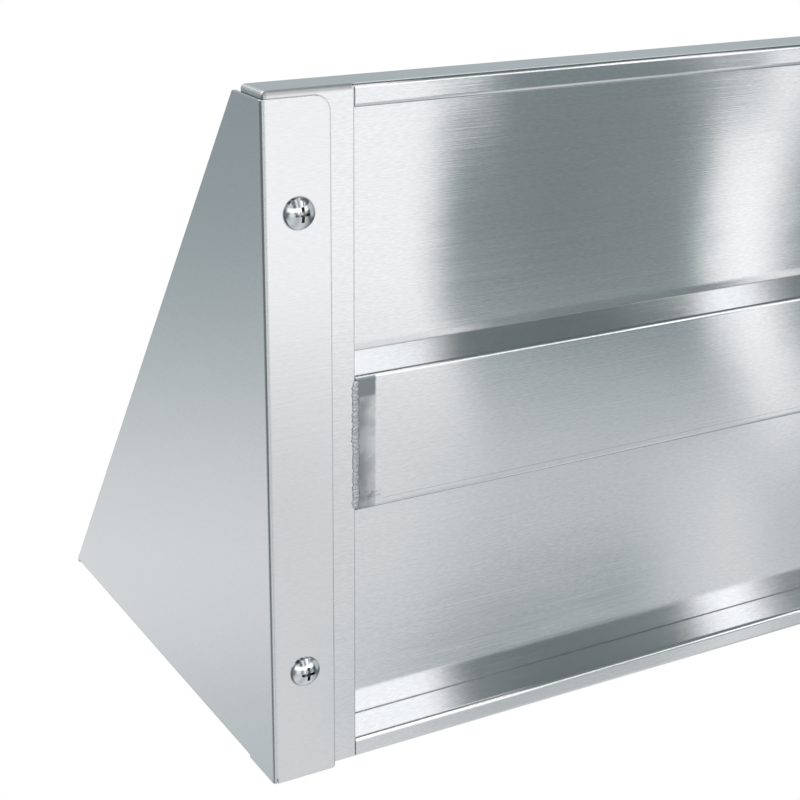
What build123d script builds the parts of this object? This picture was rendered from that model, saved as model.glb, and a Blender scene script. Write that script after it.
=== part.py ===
from build123d import *
import math
import os

# Stainless wall shelf: a folded pan carried between two solid triangular cheeks.
# Millimetres. +X runs along the shelf, -Y is the front, +Y the wall, +Z up in use.
# The origin is the centre of the wall-hole pattern, on the wall plane.

# Overall sizes
LENGTH = 1000.0            # outside face of one cheek to outside face of the other
PAN_DEPTH = 300.0          # front face to rear face of the pan
CHEEK_HEIGHT = 255.0       # underside of the ledge flange to the cheek's top corner
WALL_GAP = 1.0             # the cheeks stand this far behind the pan, against the wall

# Sheet metal
SHEET = 1.2
BEND = 1.8                 # outside radius of every fold
SEAM = 0.3                 # gap at a butted seam
END_CLEARANCE = 0.1        # pan end to cheek face, each side

# Pan
PAN_HEIGHT = 20.8
RIM_WIDTH = 9.5            # return flange under the front and rear edges
END_FLANGE = 39.0          # return flange under each end
LIP_GAP = 0.2              # inner lip of the rim stops short of the deck

# Stiffener under the deck
STIFFENER_FACE = 60.0
STIFFENER_BASE = 68.0

# Cheeks
NOSE_HEIGHT = 26.0         # height of the cheek's blunt front end
NOSE_SETBACK = 3.0         # the cheek's front edge lies behind the pan's front face
NOSE_RADIUS = 2.5
TOP_RADIUS = 0.8
LEDGE_WIDTH = 29.5
LEDGE_FRONT_RADIUS = 6.5
LEDGE_REAR_RADIUS = 1.2
WALL_FLANGE = 30.0
WALL_FLANGE_RELIEF = 6.0   # free height between the pan and the wall flange
WALL_FLANGE_RADIUS = 6.0
RELIEF_LENGTH = 2.5        # notch that frees the two folds at the cheek's lower rear corner

# Wall holes, one column in each wall flange
WALL_HOLE_RADIUS = 3.5
WALL_HOLE_INSET = 16.0     # from the cheek's outer face
WALL_HOLE_SPACING = 140.0
WALL_HOLE_MIDDLE = 150.0   # above the underside of the ledge flange

# Ledge screws, with a washer and a nut inside the pan's end flange
SCREW_INSET = 15.5         # from the cheek's outer face
SCREW_FRONT = 48.0         # from the pan's front face
SCREW_REAR = 51.0          # from its rear face
SCREW_THREAD = 2.95
SCREW_REACH = 9.5          # past the top of the pan's end flange
SCREW_HOLE = 3.3
HEAD_RADIUS = 6.3
HEAD_EDGE = 1.3
HEAD_HEIGHT = 3.9
RECESS_SPAN = 6.2
RECESS_WIDTH = 1.3
RECESS_DEPTH = 2.1
WASHER_RADIUS = 6.0
WASHER_HEIGHT = 1.2
NUT_WIDTH = 10.0
NUT_HEIGHT = 5.0
NUT_BORE = 3.0
CHAMFER = 0.5

# Welds
WELD_WIDTH = 3.2
WELD_HEIGHT = 0.6
CORNER_WELD = 1.0          # square of sheet edge that each corner weld fills

# Places that follow from the sizes above, before the move to the row's origin
HALF = LENGTH / 2
PAN_HALF = HALF - SHEET - END_CLEARANCE
PAN_BACK = -WALL_GAP
PAN_FRONT = PAN_BACK - PAN_DEPTH
PAN_MIDDLE = (PAN_FRONT + PAN_BACK) / 2
PAN_BOTTOM = SHEET
PAN_TOP = PAN_BOTTOM + PAN_HEIGHT
DECK_UNDERSIDE = PAN_TOP - SHEET
END_FLANGE_EDGE = PAN_HALF - END_FLANGE
RIM_END = END_FLANGE_EDGE - SEAM
CHEEK_FRONT = PAN_FRONT + NOSE_SETBACK
WALL_FLANGE_BOTTOM = PAN_TOP + WALL_FLANGE_RELIEF
ENDS = {"left": -1, "right": 1}
SCREW_ROWS = {"front": PAN_FRONT + SCREW_FRONT, "rear": PAN_BACK - SCREW_REAR}


def block(x_low, x_high, y_low, y_high, z_low, z_high):
    """A box between two limits on each axis."""
    middle = ((x_low + x_high) / 2, (y_low + y_high) / 2, (z_low + z_high) / 2)
    return Pos(*middle) * Box(x_high - x_low, y_high - y_low, z_high - z_low)


def round_edges(solid, axis, radius, keep):
    """Fillet the edges along one axis whose centre passes a test."""
    return fillet([edge for edge in solid.edges().filter_by(axis) if keep(edge.center())], radius)


def near(a, b):
    return abs(a - b) < 0.01


def mirrored(solid, side):
    """Parts are drawn for the right-hand end (+X); the left-hand ones are mirror images."""
    return solid if side > 0 else mirror(solid, about=Plane.YZ)


def rim_and_deck():
    """The length between the end flanges: deck, box-folded front and rear rims."""
    body = block(-RIM_END, RIM_END, PAN_FRONT, PAN_BACK, PAN_BOTTOM, PAN_TOP)
    body = round_edges(body, Axis.X, BEND, lambda c: True)
    tray = block(-RIM_END - 1, RIM_END + 1, PAN_FRONT + RIM_WIDTH, PAN_BACK - RIM_WIDTH,
                 PAN_BOTTOM - 1, DECK_UNDERSIDE)
    body -= tray
    body = round_edges(body, Axis.X, BEND, lambda c: near(c.Z, PAN_BOTTOM)
                       and (near(c.Y, PAN_FRONT + RIM_WIDTH) or near(c.Y, PAN_BACK - RIM_WIDTH)))
    for outer, inward in ((PAN_FRONT, 1), (PAN_BACK, -1)):
        wall = outer + inward * SHEET
        lip = outer + inward * (RIM_WIDTH - SHEET)
        hollow = block(-RIM_END - 1, RIM_END + 1, min(wall, lip), max(wall, lip),
                       PAN_BOTTOM + SHEET, DECK_UNDERSIDE)
        hollow = round_edges(hollow, Axis.X, BEND - SHEET, lambda c: True)
        edge = outer + inward * RIM_WIDTH
        slit = block(-RIM_END - 1, RIM_END + 1, min(lip, edge) - 0.5, max(lip, edge) + 0.5,
                     DECK_UNDERSIDE - LIP_GAP, DECK_UNDERSIDE)
        body -= hollow + slit
    return body


def pan_end():
    """Right-hand end of the pan: deck, walls, end wall and the end return flange welded into them."""
    body = block(RIM_END, PAN_HALF, PAN_FRONT, PAN_BACK, PAN_BOTTOM, PAN_TOP)
    body = fillet([edge for edge in body.edges() if edge.center().X > RIM_END + 1], BEND)
    inside = block(RIM_END - 1, PAN_HALF - SHEET, PAN_FRONT + SHEET, PAN_BACK - SHEET,
                   PAN_BOTTOM + SHEET, DECK_UNDERSIDE)
    mouth = block(RIM_END - 1, END_FLANGE_EDGE, PAN_FRONT + SHEET, PAN_BACK - SHEET,
                  PAN_BOTTOM - 1, DECK_UNDERSIDE)
    body -= inside + mouth
    for row in SCREW_ROWS.values():
        body -= Pos(HALF - SCREW_INSET, row, PAN_BOTTOM) * Cylinder(SCREW_HOLE, 4 * SHEET)
    return body


def corner_fill(side, row):
    """The square prism at one vertical corner of the pan that the corner weld fills."""
    y_outer = PAN_FRONT if row == "front" else PAN_BACK
    y_inner = y_outer + CORNER_WELD if row == "front" else y_outer - CORNER_WELD
    prism = block(PAN_HALF - CORNER_WELD, PAN_HALF + 1, min(y_outer, y_inner) - (row == "front"),
                  max(y_outer, y_inner) + (row == "rear"), PAN_BOTTOM, PAN_TOP - BEND)
    return mirrored(prism, side)


def pan_shape():
    """The whole folded pan, before its corner seams are opened for the welds."""
    end = pan_end()
    return rim_and_deck() + end + mirrored(end, -1)


def stiffener_channel():
    """Hat-shaped channel, face down, its legs spreading to the underside of the deck."""
    half_face, half_base = STIFFENER_FACE / 2, STIFFENER_BASE / 2
    lean = math.atan2(half_base - half_face, DECK_UNDERSIDE - PAN_BOTTOM)
    face_top = PAN_BOTTOM + SHEET
    wall = SHEET / math.cos(lean)
    inner_face = half_face + (half_base - half_face) * SHEET / (DECK_UNDERSIDE - PAN_BOTTOM) - wall
    outline = Polyline((-half_base, DECK_UNDERSIDE), (-half_face, PAN_BOTTOM), (half_face, PAN_BOTTOM),
                       (half_base, DECK_UNDERSIDE), (half_base - wall, DECK_UNDERSIDE),
                       (inner_face, face_top), (-inner_face, face_top),
                       (-half_base + wall, DECK_UNDERSIDE), close=True)
    section = make_face(Plane.YZ * outline)
    channel = extrude(section, RIM_END, dir=(1, 0, 0), both=True)
    channel = round_edges(channel, Axis.X, BEND, lambda c: near(c.Z, PAN_BOTTOM))
    channel = round_edges(channel, Axis.X, BEND - SHEET, lambda c: near(c.Z, face_top))
    return Pos(0, PAN_MIDDLE, 0) * channel


def cheek_plate():
    """The flat of the right-hand cheek: a tall wall edge, a sloping top edge and a blunt nose."""
    outline = Polyline((CHEEK_FRONT, 0), (0, 0), (0, CHEEK_HEIGHT), (CHEEK_FRONT, NOSE_HEIGHT), close=True)
    plate = extrude(make_face(Plane.YZ * outline), SHEET, dir=(1, 0, 0))
    plate = Pos(HALF - SHEET, 0, 0) * plate
    plate = round_edges(plate, Axis.X, NOSE_RADIUS, lambda c: near(c.Z, NOSE_HEIGHT))
    return round_edges(plate, Axis.X, TOP_RADIUS, lambda c: near(c.Z, CHEEK_HEIGHT))


def wall_fold_corner(z_low, z_high):
    """What a round fold takes off the square corner between the cheek's plate and wall flange."""
    corner = block(HALF - BEND, HALF + 1, -BEND, 1, z_low, z_high)
    return corner - Pos(HALF - BEND, -BEND, (z_low + z_high) / 2) * Cylinder(BEND, z_high - z_low + 1)


def cheek():
    """Right-hand cheek: plate, ledge flange under the pan and flange against the wall."""
    body = cheek_plate()
    inner = HALF - LEDGE_WIDTH
    ledge = block(inner, HALF - SHEET, CHEEK_FRONT, 0, 0, SHEET)
    ledge = round_edges(ledge, Axis.Z, LEDGE_FRONT_RADIUS, lambda c: near(c.X, inner) and near(c.Y, CHEEK_FRONT))
    ledge = round_edges(ledge, Axis.Z, LEDGE_REAR_RADIUS, lambda c: near(c.X, inner) and near(c.Y, 0))
    slope = (CHEEK_HEIGHT - NOSE_HEIGHT) / -CHEEK_FRONT
    flange_top = CHEEK_HEIGHT - slope * SHEET - RELIEF_LENGTH
    wall_inner = HALF - WALL_FLANGE
    flange = block(wall_inner, HALF - SHEET, -SHEET, 0, WALL_FLANGE_BOTTOM, flange_top)
    flange = round_edges(flange, Axis.Y, WALL_FLANGE_RADIUS, lambda c: near(c.X, wall_inner))
    body += ledge + flange
    body = round_edges(body, Axis.Y, BEND, lambda c: near(c.X, HALF) and near(c.Z, 0))
    notch = block(HALF - BEND, HALF + 1, -SHEET, 1, WALL_FLANGE_BOTTOM - RELIEF_LENGTH, WALL_FLANGE_BOTTOM)
    body -= notch
    body -= block(HALF - BEND, HALF - SHEET, -RELIEF_LENGTH, 1, -1, SHEET)
    body -= wall_fold_corner(WALL_FLANGE_BOTTOM, flange_top)
    for row in SCREW_ROWS.values():
        body -= Pos(HALF - SCREW_INSET, row, 0) * Cylinder(SCREW_HOLE, 4 * SHEET)
    for step in (-0.5, 0.5):
        hole = Rot(90, 0, 0) * Cylinder(WALL_HOLE_RADIUS, 4 * SHEET)
        body -= Pos(HALF - WALL_HOLE_INSET, 0, WALL_HOLE_MIDDLE + step * WALL_HOLE_SPACING) * hole
    return body


def ledge_screw():
    """Domed pan-head screw with a cross recess, head down, drawn on its own axis."""
    rise = HEAD_HEIGHT - HEAD_EDGE
    dome = (HEAD_RADIUS ** 2 + rise ** 2) / (2 * rise)
    head = Pos(0, 0, -HEAD_HEIGHT / 2) * Cylinder(HEAD_RADIUS, HEAD_HEIGHT)
    head &= Pos(0, 0, dome - HEAD_HEIGHT) * Sphere(dome)
    for turn in (0, 90):
        head -= Rot(0, 0, turn) * Pos(0, 0, -HEAD_HEIGHT + RECESS_DEPTH / 2) * Box(
            RECESS_SPAN, RECESS_WIDTH, RECESS_DEPTH)
    length = 2 * SHEET + SCREW_REACH
    shank = Pos(0, 0, length / 2) * Cylinder(SCREW_THREAD, length)
    tip = shank.edges().filter_by(GeomType.CIRCLE).sort_by(Axis.Z)[-1]
    return head + chamfer(tip, CHAMFER)


def washer():
    ring = Cylinder(WASHER_RADIUS, WASHER_HEIGHT) - Cylinder(SCREW_HOLE, 2 * WASHER_HEIGHT)
    return Pos(0, 0, 2 * SHEET + WASHER_HEIGHT / 2) * ring


def nut():
    """Hexagon nut with chamfered corners, its thread drawn as a plain bore."""
    body = extrude(RegularPolygon(NUT_WIDTH / 2, 6, major_radius=False), NUT_HEIGHT)
    cone = Pos(0, 0, NUT_HEIGHT / 2) * Cylinder(NUT_WIDTH / math.sqrt(3), NUT_HEIGHT)
    body &= chamfer(cone.edges().filter_by(GeomType.CIRCLE), CHAMFER)
    body -= Cylinder(NUT_BORE, 4 * NUT_HEIGHT)
    return Pos(0, 0, 2 * SHEET + WASHER_HEIGHT) * body


def stiffener_weld(side):
    """Low bead that joins the stiffener's face to the edge of the end flange."""
    radius = (WELD_WIDTH ** 2 / 4 + WELD_HEIGHT ** 2) / (2 * WELD_HEIGHT)
    bead = Pos(0, 0, radius - WELD_HEIGHT) * Rot(90, 0, 0) * Cylinder(radius, STIFFENER_FACE - 2 * BEND)
    bead &= Pos(0, 0, -WELD_HEIGHT / 2) * Box(WELD_WIDTH, STIFFENER_FACE, WELD_HEIGHT)
    return Pos(side * (END_FLANGE_EDGE - SEAM / 2), PAN_MIDDLE, PAN_BOTTOM) * bead


def build_parts():
    pan = pan_shape()
    parts = {"stiffener_channel": stiffener_channel()}
    for end, side in ENDS.items():
        parts[f"{end}_cheek"] = mirrored(cheek(), side)
        parts[f"{end}_stiffener_weld"] = stiffener_weld(side)
        for row, y in SCREW_ROWS.items():
            place = Pos(side * (HALF - SCREW_INSET), y, 0)
            parts[f"{row}_{end}_screw"] = place * ledge_screw()
            parts[f"{row}_{end}_washer"] = place * washer()
            parts[f"{row}_{end}_nut"] = place * nut()
            fill = corner_fill(side, row)
            parts[f"{row}_{end}_corner_weld"] = pan & fill
            pan -= fill
    parts["shelf_pan"] = pan
    return parts


os.makedirs("parts", exist_ok=True)
for name, solid in build_parts().items():
    export_step(Pos(0, 0, -WALL_HOLE_MIDDLE) * solid, f"parts/{name}.step")
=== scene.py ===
import math

import bpy
from bpy.props import FloatProperty, FloatVectorProperty, IntProperty, PointerProperty
from bpy.types import Operator, Panel, PropertyGroup
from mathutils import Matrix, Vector


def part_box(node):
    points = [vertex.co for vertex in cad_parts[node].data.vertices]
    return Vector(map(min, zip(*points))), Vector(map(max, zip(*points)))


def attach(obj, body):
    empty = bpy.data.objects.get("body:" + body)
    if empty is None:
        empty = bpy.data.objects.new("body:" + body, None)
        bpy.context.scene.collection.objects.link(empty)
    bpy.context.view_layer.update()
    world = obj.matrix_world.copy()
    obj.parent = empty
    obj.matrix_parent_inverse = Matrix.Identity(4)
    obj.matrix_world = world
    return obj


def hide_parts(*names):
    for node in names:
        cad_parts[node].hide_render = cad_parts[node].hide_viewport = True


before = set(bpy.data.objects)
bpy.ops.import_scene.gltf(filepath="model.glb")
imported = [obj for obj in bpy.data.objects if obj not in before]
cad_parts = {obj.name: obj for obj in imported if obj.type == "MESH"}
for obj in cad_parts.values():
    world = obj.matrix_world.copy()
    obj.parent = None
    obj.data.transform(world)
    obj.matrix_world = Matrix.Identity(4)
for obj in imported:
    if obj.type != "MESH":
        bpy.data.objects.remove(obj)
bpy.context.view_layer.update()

bl_info = {
    "name": "Wall shelf finishes",
    "version": (1, 0, 0),
    "blender": (4, 5, 0),
    "location": "3D View > Sidebar > Wall shelf",
    "description": "Brushed sheet, welds, screws and studio for a folded stainless wall shelf",
    "category": "Object",
}

MM = 0.001
PAN_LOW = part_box("shelf_pan")[0]
CHEEK_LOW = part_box("left_cheek")[0]
STIFFENER_LOW, STIFFENER_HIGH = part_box("stiffener_channel")
FACE_FRONT = PAN_LOW.y + 120 * MM  # the stiffener's flat face, front to rear
FACE_REAR = FACE_FRONT + 60 * MM
BEAD_INSET = 0.3 * MM  # how far each bead leans onto the stiffener
BEAD_STOP = 1 * MM  # how far it stops short of the seam's ends
CORNERS = ("front_left", "front_right", "rear_left", "rear_right")


# Shader and geometry node tools

class Wire:
    """A number carried by a node socket. Arithmetic on it adds Math nodes."""

    def __init__(self, graph, socket):
        self.graph = graph
        self.socket = socket

    def math(self, operation, *others, clamp=False):
        return self.graph.math(operation, self, *others, clamp=clamp)

    def __add__(self, other):
        return self.graph.math("ADD", self, other)

    def __sub__(self, other):
        return self.graph.math("SUBTRACT", self, other)

    def __mul__(self, other):
        return self.graph.math("MULTIPLY", self, other)

    def __truediv__(self, other):
        return self.graph.math("DIVIDE", self, other)

    def __rsub__(self, other):
        return self.graph.math("SUBTRACT", other, self)

    def __rtruediv__(self, other):
        return self.graph.math("DIVIDE", other, self)

    __radd__ = __add__
    __rmul__ = __mul__


class Graph:
    """Adds nodes to one tree."""

    def __init__(self, tree):
        self.tree = tree

    def add(self, kind, settings=None, inputs=None, output=None):
        """A node of one type, with its settings, then its sockets' values or links. Returns one output."""
        node = self.tree.nodes.new(kind)
        for key, value in (settings or {}).items():
            if key == "stops":
                self.set_stops(node.color_ramp, value)
            else:
                setattr(node, key, value)
        for key, value in (inputs or {}).items():
            socket = self.find(node.inputs, key)
            if isinstance(value, Wire):
                self.tree.links.new(value.socket, socket)
            else:
                socket.default_value = value
        if not node.outputs:
            return node
        return Wire(self, self.find(node.outputs, output) if output else node.outputs[0])

    @staticmethod
    def find(sockets, key):
        for attribute in ("identifier", "name"):
            for socket in sockets:
                if getattr(socket, attribute) == key:
                    return socket
        raise KeyError(f"no socket {key!r} among {[s.identifier for s in sockets]}")

    @staticmethod
    def set_stops(ramp, stops):
        while len(ramp.elements) > 1:
            ramp.elements.remove(ramp.elements[-1])
        for index, (place, level) in enumerate(stops):
            stop = ramp.elements[0] if index == 0 else ramp.elements.new(place)
            stop.position = place
            stop.color = (level, level, level, 1.0)

    def math(self, operation, *values, clamp=False):
        inputs = dict(zip(("Value", "Value_001", "Value_002"), values))
        return self.add("ShaderNodeMath", {"operation": operation, "use_clamp": clamp}, inputs)

    def vector(self, operation, *values):
        inputs = dict(zip(("Vector", "Vector_001", "Vector_002"), values))
        return self.add("ShaderNodeVectorMath", {"operation": operation}, inputs)

    def split(self, vector):
        first = self.add("ShaderNodeSeparateXYZ", {}, {"Vector": vector})
        return tuple(Wire(self, socket) for socket in first.socket.node.outputs)

    def step(self, value, low, high, start=0.0, stop=1.0):
        """A smooth step from start to stop as value goes from low to high."""
        return self.add("ShaderNodeMapRange", {"interpolation_type": "SMOOTHSTEP"}, {
            "Value": value, "From Min": low, "From Max": high, "To Min": start, "To Max": stop})

    def mix(self, factor, a, b):
        return self.add("ShaderNodeMix", {"data_type": "RGBA"},
                        {"Factor_Float": factor, "A_Color": a, "B_Color": b}, "Result_Color")

    def blend(self, factor, a, b):
        return self.add("ShaderNodeMix", {"data_type": "FLOAT"},
                        {"Factor_Float": factor, "A_Float": a, "B_Float": b}, "Result_Float")

    def noise(self, place, stretch, detail=2.0, roughness=0.5):
        """Noise whose features per metre are given for each axis."""
        stretched = self.vector("MULTIPLY", place, stretch)
        return self.add("ShaderNodeTexNoise", {}, {
            "Vector": stretched, "Scale": 1.0, "Detail": detail, "Roughness": roughness})


def colour(rgb, scale=1.0):
    return (rgb[0] * scale, rgb[1] * scale, rgb[2] * scale, 1.0)


def new_material(name):
    material = bpy.data.materials.new(name)
    material.use_nodes = True
    material.node_tree.nodes.clear()
    return material, Graph(material.node_tree)


def finish_surface(graph, shader):
    graph.add("ShaderNodeOutputMaterial", {}, {"Surface": shader})


def give_finish(node_name, material):
    """Puts a material in every slot of a frame node."""
    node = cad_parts[node_name]
    if not node.material_slots:
        node.data.materials.append(material)
    for slot in node.material_slots:
        slot.material = material


def inside_band(graph, value, low, high, soft):
    """1 between two limits, with soft sides."""
    return graph.step(value, low - soft, low + soft) * graph.step(value, high - soft, high + soft, 1.0, 0.0)


# Brushed stainless sheet

def grained(lengthwise_axes, along, across):
    """Features per metre for each axis: few along the grain, many across it."""
    return [along if axis in lengthwise_axes else across for axis in "xyz"]


def sheet_surface(graph, look, lengthwise_axes, streak_direction, grain=1.0):
    """Grain, clouds and tint of brushed sheet, with painted shade darkening the sheet near seams and folds.
    """
    place = graph.add("ShaderNodeTexCoord", {}, {}, "Object")
    waver = graph.add("ShaderNodeTexNoise", {}, {"Vector": place, "Scale": 60.0, "Detail": 1.0}, "Color")
    waved = graph.vector("MULTIPLY_ADD", waver, (look.grain_waver,) * 3, place)
    strokes = graph.step(graph.noise(waved, grained(lengthwise_axes, 300.0, 2100.0)), 0.3, 0.7)
    lines = graph.noise(place, grained(lengthwise_axes, 9.0, 700.0), 3.0, 0.6)
    clouds = graph.noise(place, (7.0, 11.0, 11.0), 3.0, 0.55)
    tone = ((lines - 0.5) * (look.line_tone * grain) + (strokes - 0.5) * (look.stroke_tone * grain)
            + (clouds - 0.5) * look.cloud_tone + 0.5)
    bare = graph.mix(tone, colour(look.tint, 0.8), colour(look.tint, 1.2))
    # Painted shade: ambient occlusion darkens the sheet in seams, folds and round the screws.
    occlusion_shade = graph.add("ShaderNodeAmbientOcclusion", {"samples": 8}, {"Distance": look.crevice_shade_reach}, "AO")
    base = graph.mix(graph.step(occlusion_shade, 0.3, 0.85), colour(look.tint, 0.32), bare)
    roughness = (clouds - 0.5) * 0.06 + (lines - 0.5) * 0.03 + look.roughness
    scratches = graph.noise(place, grained(lengthwise_axes, 9.0, 2600.0), 2.0, 0.6)
    dents = graph.noise(place, (25.0, 60.0, 60.0), 1.0)
    height = scratches + dents * look.dent_depth
    edge = graph.add("ShaderNodeBevel", {"samples": 4}, {"Radius": look.edge_radius})
    normal = graph.add("ShaderNodeBump", {}, {
        "Strength": 1.0, "Distance": look.grain_depth, "Height": height, "Normal": edge})
    streak = graph.add("ShaderNodeCombineXYZ", {}, dict(zip("XYZ", streak_direction)))
    return {"Base Color": base, "Metallic": 1.0, "Roughness": roughness, "Anisotropic": look.streak,
            "Normal": normal, "Tangent": streak}, place


def pan_material(look):
    """Lengthwise grain, and a dressed strip at each front corner, rougher and darkened with painted shade
    of a rounder bend.
    """
    material, graph = new_material("brushed sheet, pan")
    surface, place = sheet_surface(graph, look, "x", (0.0, 1.0, 0.05))
    x, y, z = graph.split(place)
    # Painted shade: the strip's colour is darkened as a rounder ground bend would look; its added roughness
    # is the real dressing.
    dressed_and_shaded = (graph.step(x.math("ABSOLUTE"), STIFFENER_HIGH.x - 1.0 * MM, STIFFENER_HIGH.x + 2.0 * MM)
               * graph.step(y, PAN_LOW.y + 1.3 * MM, PAN_LOW.y + 2.6 * MM, 1.0, 0.0)
               * graph.step(z, PAN_LOW.z + 1.6 * MM, PAN_LOW.z + 2.2 * MM, 1.0, 0.0))
    surface["Base Color"] = graph.mix(dressed_and_shaded, surface["Base Color"], colour(look.tint, 0.62))
    surface["Roughness"] = surface["Roughness"] + dressed_and_shaded * 0.3
    finish_surface(graph, graph.add("ShaderNodeBsdfPrincipled", {}, surface))
    return material


def cheek_material(look):
    """Fainter grain, upright on the face and across the ledge. A painted shadow rings the heads of the
    screws.
    """
    material, graph = new_material("brushed sheet, cheek")
    surface, place = sheet_surface(graph, look, "xz", (0.05, 1.0, 0.0), 0.5)
    x, y, z = graph.split(place)
    # Painted shadow: a dark ring round each screw head, set a little outward.
    for row in ("front", "rear"):
        low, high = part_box(f"{row}_right_screw")
        centre, radius = (low + high) / 2, (high.x - low.x) / 2
        across = x.math("ABSOLUTE") - (centre.x + 0.3 * MM)
        out = (across * across + (y - centre.y) * (y - centre.y)).math("SQRT")
        head_shadow_ring = graph.step(out, radius, radius + 0.8 * MM, 0.8, 0.0)
        surface["Base Color"] = graph.mix(head_shadow_ring, surface["Base Color"], colour(look.tint, 0.2))
    finish_surface(graph, graph.add("ShaderNodeBsdfPrincipled", {}, surface))
    return material


def stiffener_material(look, weld):
    """Sheet as on the pan, a ground band beside each end weld and a scribed line along the rear fold."""
    material, graph = new_material("brushed sheet, stiffener")
    surface, place = sheet_surface(graph, look, "x", (0.0, 1.0, 0.05))
    x, y, z = graph.split(place)
    ragged = graph.noise(place, (0.0, 500.0, 0.0), 3.0) * (1.2 * MM)
    across = STIFFENER_HIGH.x - x.math("ABSOLUTE")
    band = graph.step(across + ragged, weld.ground_width, weld.ground_width + 1.2 * MM, 1.0, 0.0)
    flat = graph.step(z, STIFFENER_LOW.z + 0.1 * MM, STIFFENER_LOW.z + 0.4 * MM, 1.0, 0.0)
    block_end = FACE_FRONT + 9.7 * MM
    beyond_block = graph.step(y + ragged, block_end - 0.5 * MM, block_end + 0.5 * MM)
    patchy = graph.step(graph.noise(place, (120.0, 90.0, 0.0), 2.0), 0.35, 0.65, -0.15, 0.1)
    fade = graph.step(across, 1.0 * MM, weld.ground_width + 2 * MM, 0.85, 0.3) + patchy
    ground = band * graph.blend(beyond_block, 0.95, fade) * flat
    smudge = (inside_band(graph, across, 4 * MM, 12 * MM, 1 * MM)
              * inside_band(graph, y, FACE_REAR - 8 * MM, FACE_REAR - 4 * MM, 0.4 * MM)
              * graph.step(graph.noise(place, (260.0, 700.0, 0.0), 3.0), 0.4, 0.7, 0.0, 0.4))
    scribe = FACE_REAR - 3.6 * MM
    scribed = (inside_band(graph, y, scribe - 0.15 * MM, scribe + 0.15 * MM, 0.12 * MM)
               * graph.step(across, 12 * MM, 13 * MM) * 0.35)
    shade = (ground + smudge).math("ADD", scribed, clamp=True)
    surface["Base Color"] = graph.mix(shade, surface["Base Color"], colour(weld.ground_tint))
    surface["Roughness"] = surface["Roughness"] + ground * 0.12
    finish_surface(graph, graph.add("ShaderNodeBsdfPrincipled", {}, surface))
    return material


# Weld metal and fasteners

def weld_material(look):
    """Dull pitted metal as it cooled."""
    material, graph = new_material("weld metal")
    place = graph.add("ShaderNodeTexCoord", {}, {}, "Object")
    pits = graph.noise(place, (1400.0, 1400.0, 1400.0), 3.0, 0.65)
    patches = graph.noise(place, (260.0, 260.0, 260.0), 2.0)
    light_patches = graph.step(pits * 0.6 + patches * 0.4, 0.35, 0.6)
    base = graph.mix(light_patches, colour(look.bead_tint, 0.8), colour(look.bead_tint))
    roughness = graph.step(patches, 0.3, 0.7, 0.5, 0.62)
    normal = graph.add("ShaderNodeBump", {}, {"Strength": 0.4, "Distance": 0.03 * MM, "Height": pits})
    shader = graph.add("ShaderNodeBsdfPrincipled", {}, {
        "Base Color": base, "Metallic": 1.0, "Roughness": roughness, "Normal": normal})
    finish_surface(graph, shader)
    return material


def dressed_and_shaded_weld_material(look):
    """Corner welds are ground flush and brushed over; their colour is painted darker than the sheet as
    shade of the rounded corner.
    """
    material, graph = new_material("dressed weld with painted shade")
    place = graph.add("ShaderNodeTexCoord", {}, {}, "Object")
    marks = graph.noise(place, (900.0, 900.0, 120.0), 2.0)
    base = graph.mix(marks, colour(look.tint, 0.55), colour(look.tint, 0.7))
    normal = graph.add("ShaderNodeBump", {}, {"Strength": 0.3, "Distance": 0.02 * MM, "Height": marks})
    shader = graph.add("ShaderNodeBsdfPrincipled", {}, {
        "Base Color": base, "Metallic": 1.0, "Roughness": look.roughness + 0.3, "Normal": normal})
    finish_surface(graph, shader)
    return material


def fastener_material(look):
    """Bright plated steel with faint turning marks and painted shade in the low places."""
    material, graph = new_material("bright fastener")
    place = graph.add("ShaderNodeTexCoord", {}, {}, "Object")
    speckle = graph.noise(place, (900.0, 900.0, 900.0), 2.0)
    smear = graph.noise(place, (160.0, 160.0, 160.0), 2.0)
    bare = graph.mix(graph.step(smear, 0.3, 0.7), colour(look.tint, 0.88), colour(look.tint))
    # Painted shade: ambient occlusion darkens the recesses.
    occlusion_shade = graph.add("ShaderNodeAmbientOcclusion", {"samples": 8, "only_local": True},
                         {"Distance": 2.0 * MM}, "AO")
    base = graph.mix(graph.step(occlusion_shade, 0.35, 0.85), colour(look.tint, 0.22), bare)
    roughness = graph.step(speckle, 0.3, 0.75, look.roughness, look.roughness + 0.1)
    normal = graph.add("ShaderNodeBump", {}, {"Strength": 0.25, "Distance": 0.02 * MM, "Height": speckle})
    shader = graph.add("ShaderNodeBsdfPrincipled", {}, {
        "Base Color": base, "Metallic": 1.0, "Roughness": roughness, "Normal": normal})
    finish_surface(graph, shader)
    return material


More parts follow.
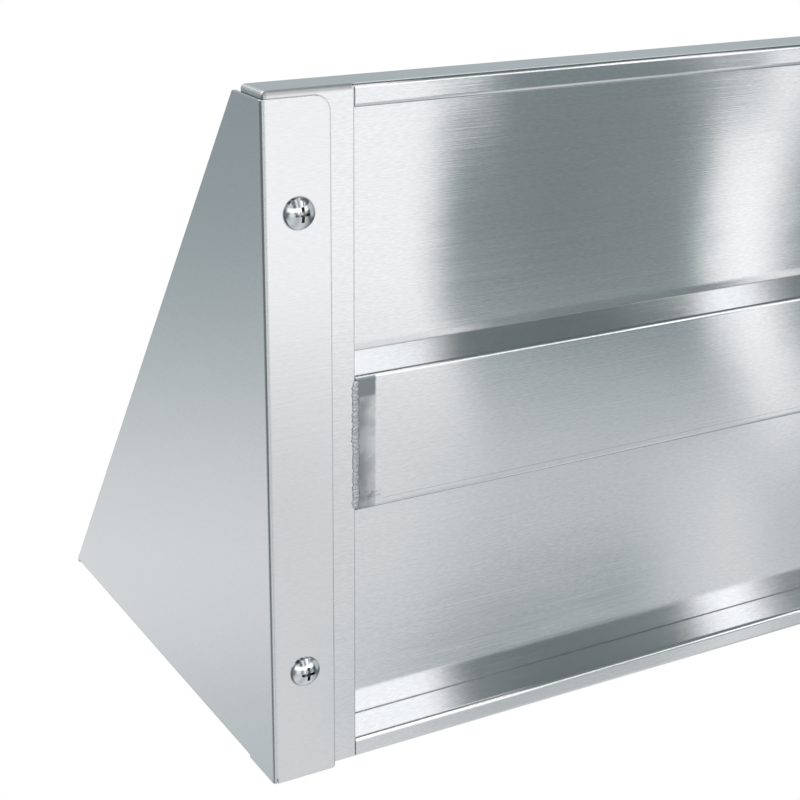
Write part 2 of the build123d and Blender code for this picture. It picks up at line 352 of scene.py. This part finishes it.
def bead_tree(name):
    """Overlapping puddles of weld along a straight seam."""
    tree = bpy.data.node_groups.new(name, "GeometryNodeTree")
    for label, kind in (("Start", "Vector"), ("End", "Vector"), ("Puddles", "Int"),
                        ("Width", "Float"), ("Height", "Float"), ("Raggedness", "Float"),
                        ("Seed", "Int"), ("Metal", "Material")):
        tree.interface.new_socket(label, in_out="INPUT", socket_type="NodeSocket" + kind)
    tree.interface.new_socket("Geometry", in_out="OUTPUT", socket_type="NodeSocketGeometry")
    graph = Graph(tree)
    given_outputs = graph.add("NodeGroupInput").socket.node.outputs
    given = {socket.name: Wire(graph, socket) for socket in given_outputs if socket.name}
    seam = graph.add("GeometryNodeMeshLine", {"mode": "END_POINTS"},
                     {"Count": given["Puddles"], "Start Location": given["Start"], "Offset": given["End"]})
    scatter = graph.add("FunctionNodeRandomValue", {"data_type": "FLOAT_VECTOR"},
                        {"Min": (-1.0, -0.6, 0.0), "Max": (1.0, 0.6, 0.0), "Seed": given["Seed"]})
    shift = graph.add("ShaderNodeVectorMath", {"operation": "SCALE"},
                      {"Vector": scatter, "Scale": given["Raggedness"]}, "Vector")
    points = graph.add("GeometryNodeSetPosition", {}, {"Geometry": seam, "Offset": shift})
    puddle = graph.add("GeometryNodeMeshIcoSphere", {}, {"Radius": 1.0, "Subdivisions": 2})
    spread = graph.add("FunctionNodeRandomValue", {"data_type": "FLOAT_VECTOR"},
                       {"Min": (0.75, 0.8, 0.75), "Max": (1.1, 1.4, 1.1), "Seed": given["Seed"] + 7})
    size = graph.add("ShaderNodeCombineXYZ", {}, {
        "X": given["Width"] * 0.5, "Y": given["Width"] * 0.33, "Z": given["Height"]})
    scale = graph.vector("MULTIPLY", spread, size)
    turn = graph.add("FunctionNodeRandomValue", {"data_type": "FLOAT_VECTOR"},
                     {"Min": (-0.12, -0.12, -0.5), "Max": (0.12, 0.12, 0.5), "Seed": given["Seed"] + 3})
    placed = graph.add("GeometryNodeInstanceOnPoints", {},
                       {"Points": points, "Instance": puddle, "Rotation": turn, "Scale": scale})
    solid = graph.add("GeometryNodeRealizeInstances", {}, {"Geometry": placed})
    smooth = graph.add("GeometryNodeSetShadeSmooth", {}, {"Geometry": solid})
    coated = graph.add("GeometryNodeSetMaterial", {}, {"Geometry": smooth, "Material": given["Metal"]})
    graph.add("NodeGroupOutput", {}, {"Geometry": coated})
    return tree


def grow(name, tree, values):
    """Runs a node tree once with named inputs and keeps the plain mesh that it makes."""
    piece = bpy.data.objects.new(name, bpy.data.meshes.new(name))
    bpy.context.scene.collection.objects.link(piece)
    modifier = piece.modifiers.new(name, "NODES")
    modifier.node_group = tree
    for socket in tree.interface.items_tree:
        if socket.item_type == "SOCKET" and socket.in_out == "INPUT":
            modifier[socket.identifier] = values[socket.name]
    made = bpy.data.meshes.new_from_object(piece.evaluated_get(bpy.context.evaluated_depsgraph_get()))
    piece.modifiers.clear()
    piece.data = made
    made.name = name
    return piece


# Studio

def studio_surround(world, look):
    """Soft boxes and dark gaps round the shelf, seen only as light and reflections, on a plain backdrop."""
    world.use_nodes = True
    world.node_tree.nodes.clear()
    graph = Graph(world.node_tree)
    x, y, z = graph.split(graph.add("ShaderNodeTexCoord", {}, {}, "Generated"))
    span = 1.2

    def ramp(stops, value):
        """Light levels up to 2 at places from -span to span."""
        places = [((place + span) / (2 * span), level / 2) for place, level in stops]
        share = value / (2 * span) + 0.5
        return graph.add("ShaderNodeValToRGB", {"stops": places}, {"Fac": share}, "Color")

    # The boxes' edges lean, and lean differently for the deck, the flanges and the tilted walls.
    steep = graph.step(y - x * 0.4, -0.79, -0.73, 0.058, 0.093)
    flat = graph.step(y, 0.170, 0.188, -0.016, 0.0) - inside_band(graph, y, 0.31, 0.365, 0.015) * 0.022
    flat = graph.blend(graph.step(y, 0.11, 0.14), 0.035, flat)
    lag = graph.blend(graph.step(y, -0.2, 0.0), steep, flat)
    reach = x + y.math("MAXIMUM", 0.0) * 0.2 + lag

    boxes = ramp([(-1.1, 0.9), (-0.95, 0.5), (-0.7, 0.45), (-0.62, 1.2), (-0.35, 1.3), (-0.27, 0.35),
                  (-0.06, 0.4), (0.0, 1.7), (0.1, 1.8), (0.16, 0.5), (0.2, 0.45), (0.28, 1.1), (0.36, 1.45),
                  (0.538, 1.4), (0.549, 0.38), (0.600, 0.33), (0.664, 0.38), (0.676, 1.5), (0.697, 1.5),
                  (0.707, 0.42), (0.80, 0.3), (0.95, 0.2), (1.1, 0.2)], reach)
    haze = ramp([(-1.1, 0.35), (-0.75, 0.3), (-0.6, 0.8), (-0.3, 1.0), (0.1, 0.7), (0.3, 0.9), (0.47, 1.0),
                 (0.530, 1.02), (0.575, 0.86), (0.650, 0.85), (0.672, 0.95), (0.688, 1.08), (0.702, 0.86),
                 (0.72, 0.76), (0.8, 0.6), (1.1, 0.5)], reach)
    above = ramp([(-1.0, 0.9), (-0.8, 1.3), (-0.5, 1.1), (-0.3, 0.62), (-0.16, 0.56), (0.0, 0.50),
                  (0.19, 0.45), (0.25, 0.5), (0.30, 0.60), (0.38, 0.87), (0.43, 0.97), (0.47, 0.92),
                  (0.50, 0.80), (0.60, 0.62), (0.75, 0.9), (0.9, 1.35), (1.0, 1.2)], y)

    # A low dark patch shows on the deck above the rear lip.
    slant = y + x * 0.37
    dusk = graph.step(reach, 0.465, 0.575, 0.0, 0.62) * graph.step(reach, 0.63, 0.672, 1.0, 0.0)
    dusk = dusk * graph.step(slant, 0.618, 0.652) * graph.step(slant, 0.660, 0.674, 1.0, 0.0)
    haze = haze * (1.0 - dusk)
    deep = boxes.math("POWER", 1.3) * 1.85 * graph.step(x, 0.25, 0.40, 0.5, 1.0)
    below = graph.blend(graph.step(y, 0.28, 0.38), boxes, haze)
    below = graph.blend(graph.step(y, -0.26, -0.20), deep, below)
    below = graph.blend(inside_band(graph, y, -0.38, -0.06, 0.025), below, 1.1)
    light = graph.blend(graph.step(z, -0.12, 0.12), below, above)
    gap = (inside_band(graph, x, 0.36, 0.80, 0.04) * graph.step(y, -0.66, -0.56, 1.0, 0.0)
           * inside_band(graph, z, -0.46, 0.4, 0.05))
    light = graph.blend(gap, light, 0.10)
    sides = graph.step(x, 0.72, 0.82, 1.0, 0.35) * graph.step(x, -0.84, -0.70, 0.45, 1.0)
    light = graph.blend(graph.step(x, 0.88, 0.94), light * sides, 0.38) * (2.0 * look.surround)

    cool, neutral = (0.885, 1.018, 1.065, 1.0), (0.998, 1.0, 1.002, 1.0)
    air = graph.mix(graph.step(light, 0.35, 1.15), cool, neutral)
    unseen = graph.add("ShaderNodeBackground", {}, {"Color": air, "Strength": light})
    plain = graph.add("ShaderNodeBackground", {}, {"Color": (1.0, 1.0, 1.0, 1.0), "Strength": 1.0})
    seen = graph.add("ShaderNodeLightPath", {}, {}, "Is Camera Ray")
    mixed = graph.add("ShaderNodeMixShader", {}, {"Fac": seen, "Shader": unseen, "Shader_001": plain})
    graph.add("ShaderNodeOutputWorld", {}, {"Surface": mixed})


def floor_material(look):
    """Matt pale floor, open from underneath so that nothing hides the shelf's underside."""
    material, graph = new_material("studio floor")
    place = graph.add("ShaderNodeTexCoord", {}, {}, "Object")
    mottle = graph.noise(place, (0.8, 0.8, 0.8), 3.0)
    base = graph.mix(mottle, colour(look.floor_tint, 0.97), colour(look.floor_tint))
    matt = graph.add("ShaderNodeBsdfPrincipled", {}, {"Base Color": base, "Roughness": 0.9})
    clear = graph.add("ShaderNodeBsdfTransparent")
    back = graph.add("ShaderNodeNewGeometry", {}, {}, "Backfacing")
    shader = graph.add("ShaderNodeMixShader", {}, {"Fac": back, "Shader": matt, "Shader_001": clear})
    finish_surface(graph, shader)
    return material


def soft_light(name, place, aim, size, power):
    data = bpy.data.lights.new(name, "AREA")
    data.shape = "SQUARE"
    data.size = size
    data.energy = power
    light = bpy.data.objects.new(name, data)
    light.location = place
    light.rotation_euler = (Vector(aim) - Vector(place)).to_track_quat("-Z", "Y").to_euler()
    bpy.context.scene.collection.objects.link(light)


# Settings

class SheetLook(PropertyGroup):
    tint: FloatVectorProperty(
        name="Steel tint", description="Colour of the bare sheet", subtype="COLOR",
        size=3, min=0.0, max=1.0, default=(0.613, 0.620, 0.626))
    roughness: FloatProperty(
        name="Roughness", description="How far the sheet blurs what it reflects", subtype="FACTOR",
        min=0.05, max=1.0, default=0.07)
    streak: FloatProperty(
        name="Streak", description="How much longer reflections are across the grain", subtype="FACTOR",
        min=0.0, max=1.0, default=0.98)
    grain_depth: FloatProperty(
        name="Grain depth", description="Depth of the brushing", unit="LENGTH",
        min=0.0, default=0.00001)
    dent_depth: FloatProperty(
        name="Dent depth", description="Depth of the broad waves, in grain depths",
        min=0.0, default=3.0)
    # How far from a seam or fold the painted shade darkens the sheet.
    crevice_shade_reach: FloatProperty(
        name="Crevice", description="How far from a seam or fold the sheet stays dull", unit="LENGTH",
        min=0.0, default=1.6 * MM)
    grain_waver: FloatProperty(
        name="Grain waver", description="How far the strokes stray sideways", unit="LENGTH",
        min=0.0, default=0.0004)
    edge_radius: FloatProperty(
        name="Edge radius", description="Rounding of the cut edges", unit="LENGTH",
        min=0.0, default=0.7 * MM)
    line_tone: FloatProperty(
        name="Line tone", description="Lightness change between long grain lines", subtype="FACTOR",
        min=0.0, max=1.0, default=0.17)
    stroke_tone: FloatProperty(
        name="Stroke tone", description="Lightness change between short strokes", subtype="FACTOR",
        min=0.0, max=1.0, default=0.22)
    cloud_tone: FloatProperty(
        name="Cloud tone", description="Lightness change of the broad clouds", subtype="FACTOR",
        min=0.0, max=1.0, default=0.12)


class WeldLook(PropertyGroup):
    bead_tint: FloatVectorProperty(
        name="Bead tint", description="Colour of the weld metal", subtype="COLOR",
        size=3, min=0.0, max=1.0, default=(0.60, 0.62, 0.63))
    ground_tint: FloatVectorProperty(
        name="Ground tint", description="Colour of the ground band beside the weld", subtype="COLOR",
        size=3, min=0.0, max=1.0, default=(0.17, 0.19, 0.195))
    ground_width: FloatProperty(
        name="Ground width", description="Width of the ground band", unit="LENGTH",
        min=0.0, default=9.5 * MM)
    puddles: IntProperty(
        name="Puddles", description="Puddles of metal along one bead",
        min=2, max=400, default=64)
    raggedness: FloatProperty(
        name="Raggedness", description="How far the puddles stray from the seam", unit="LENGTH",
        min=0.0, default=0.25 * MM)
    seed: IntProperty(
        name="Seed", description="Changes the bead's irregular outline",
        min=0, default=11)


class FastenerLook(PropertyGroup):
    tint: FloatVectorProperty(
        name="Plating tint", description="Colour of screws, washers and nuts", subtype="COLOR",
        size=3, min=0.0, max=1.0, default=(0.64, 0.66, 0.67))
    roughness: FloatProperty(
        name="Roughness", description="Blur of the plating's reflections", subtype="FACTOR",
        min=0.02, max=1.0, default=0.14)


class StudioLook(PropertyGroup):
    surround: FloatProperty(
        name="Surround", description="Strength of the soft light round the shelf",
        min=0.0, default=1.0)
    floor_tint: FloatVectorProperty(
        name="Floor tint", description="Colour of the floor", subtype="COLOR",
        size=3, min=0.0, max=1.0, default=(0.95, 0.92, 0.905))
    floor_drop: FloatProperty(
        name="Floor drop", description="Height of the shelf's origin above the floor", unit="LENGTH",
        min=0.5, default=1.5)
    floor_size: FloatProperty(
        name="Floor size", description="Side of the square floor", unit="LENGTH",
        min=2.0, default=80.0)
    lens: FloatProperty(
        name="Lens", description="Focal length on a 36 mm sensor", unit="CAMERA",
        min=20.0, default=77.06)
    camera_offset: FloatVectorProperty(
        name="Camera offset", description="Camera from the pan's lower front left corner", unit="LENGTH",
        size=3, default=(-0.26772, -0.11618, -0.58423))
    camera_turn: FloatVectorProperty(
        name="Camera turn", description="Camera rotation about X, Y and Z", subtype="EULER",
        size=3, default=[math.radians(angle) for angle in (159.213, 29.751, -0.725)])
    camera_shift: FloatProperty(
        name="Camera shift", description="Sideways shift of the frame, as a share of its width",
        default=-0.02)


# Pieces

class WALLSHELF_OT_brushed_sheet(Operator):
    """Give the pan, the stiffener and both cheeks their brushed steel"""
    bl_idname = "wall_shelf.brushed_sheet"
    bl_label = "Brushed sheet"

    def execute(self, context):
        look, weld = context.scene.wall_shelf_sheet, context.scene.wall_shelf_weld
        cheek = cheek_material(look)
        give_finish("shelf_pan", pan_material(look))
        give_finish("stiffener_channel", stiffener_material(look, weld))
        give_finish("left_cheek", cheek)
        give_finish("right_cheek", cheek)
        return {"FINISHED"}


class WALLSHELF_OT_welds(Operator):
    """Lay a ragged bead at each end of the stiffener and finish the corner welds"""
    bl_idname = "wall_shelf.welds"
    bl_label = "Welds"

    def execute(self, context):
        look = context.scene.wall_shelf_weld
        metal = weld_material(look)
        tree = bead_tree("weld bead")
        for number, side in enumerate(("left", "right")):
            low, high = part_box(f"{side}_stiffener_weld")
            inward = BEAD_INSET if side == "left" else -BEAD_INSET
            middle = (low.x + high.x) / 2 + inward
            bead = grow(f"{side}_weld_bead", tree, {
                "Start": (middle, low.y + BEAD_STOP, high.z), "End": (middle, high.y - BEAD_STOP, high.z),
                "Puddles": look.puddles, "Width": (high.x - low.x) * 1.15, "Height": high.z - low.z,
                "Raggedness": look.raggedness, "Seed": look.seed + 50 * number, "Metal": metal})
            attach(bead, "root")
            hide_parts(f"{side}_stiffener_weld")
        # The corner welds' darker colour is painted shade of the rounded corners.
        dressed_and_shaded = dressed_and_shaded_weld_material(context.scene.wall_shelf_sheet)
        for corner in CORNERS:
            give_finish(f"{corner}_corner_weld", dressed_and_shaded)
        return {"FINISHED"}


class WALLSHELF_OT_fasteners(Operator):
    """Plate the screws, washers and nuts"""
    bl_idname = "wall_shelf.fasteners"
    bl_label = "Fasteners"

    def execute(self, context):
        plating = fastener_material(context.scene.wall_shelf_fastener)
        for corner in CORNERS:
            for piece in ("screw", "washer", "nut"):
                give_finish(f"{corner}_{piece}", plating)
        return {"FINISHED"}


class WALLSHELF_OT_studio(Operator):
    """Set up the floor, the soft light and the camera"""
    bl_idname = "wall_shelf.studio"
    bl_label = "Studio"

    def execute(self, context):
        look = context.scene.wall_shelf_studio
        world = bpy.data.worlds.new("studio surround")
        context.scene.world = world
        studio_surround(world, look)

        half = look.floor_size / 2
        outline = ((-half, -half), (half, -half), (half, half), (-half, half))
        mesh = bpy.data.meshes.new("studio_floor")
        mesh.from_pydata([(x, y, -look.floor_drop) for x, y in outline], [], [(0, 1, 2, 3)])
        mesh.materials.append(floor_material(look))
        floor = bpy.data.objects.new("studio_floor", mesh)
        context.scene.collection.objects.link(floor)
        floor.visible_glossy = False

        aim = (0.0, -0.15, 0.0)
        soft_light("front_soft_box", (-1.6, -2.4, 1.9), aim, 1.4, 30.0)
        soft_light("side_soft_box", (2.6, -1.2, 0.8), aim, 1.0, 12.0)

        camera = bpy.data.objects.new("camera", bpy.data.cameras.new("camera"))
        context.scene.collection.objects.link(camera)
        camera.data.lens = look.lens
        camera.data.sensor_width = 36.0
        camera.data.shift_x = look.camera_shift
        camera.data.clip_start, camera.data.clip_end = 0.01, 200.0
        camera.location = Vector((CHEEK_LOW.x, PAN_LOW.y, PAN_LOW.z)) + Vector(look.camera_offset)
        camera.rotation_euler = look.camera_turn
        context.scene.camera = camera

        context.scene.view_settings.view_transform = "Standard"
        context.scene.view_settings.look = "None"
        return {"FINISHED"}


class WALLSHELF_PT_panel(Panel):
    """Wall shelf finishes"""
    bl_label = "Wall shelf"
    bl_idname = "WALLSHELF_PT_panel"
    bl_space_type = "VIEW_3D"
    bl_region_type = "UI"
    bl_category = "Wall shelf"

    def draw(self, context):
        scene = context.scene
        for operator, look in ((WALLSHELF_OT_brushed_sheet, scene.wall_shelf_sheet),
                               (WALLSHELF_OT_welds, scene.wall_shelf_weld),
                               (WALLSHELF_OT_fasteners, scene.wall_shelf_fastener),
                               (WALLSHELF_OT_studio, scene.wall_shelf_studio)):
            box = self.layout.box()
            box.operator(operator.bl_idname)
            for name in look.__annotations__:
                box.prop(look, name)


LOOKS = {"wall_shelf_sheet": SheetLook, "wall_shelf_weld": WeldLook, "wall_shelf_fastener": FastenerLook,
         "wall_shelf_studio": StudioLook}
OPERATORS = (WALLSHELF_OT_brushed_sheet, WALLSHELF_OT_welds, WALLSHELF_OT_fasteners, WALLSHELF_OT_studio)


def register():
    for cls in (*LOOKS.values(), *OPERATORS, WALLSHELF_PT_panel):
        bpy.utils.register_class(cls)
    for name, look in LOOKS.items():
        setattr(bpy.types.Scene, name, PointerProperty(type=look))


def unregister():
    for name in LOOKS:
        delattr(bpy.types.Scene, name)
    for cls in reversed((*LOOKS.values(), *OPERATORS, WALLSHELF_PT_panel)):
        bpy.utils.unregister_class(cls)


def main():
    register()
    bpy.ops.wall_shelf.brushed_sheet()
    bpy.ops.wall_shelf.welds()
    bpy.ops.wall_shelf.fasteners()
    bpy.ops.wall_shelf.studio()


if __name__ == "__main__":
    main()
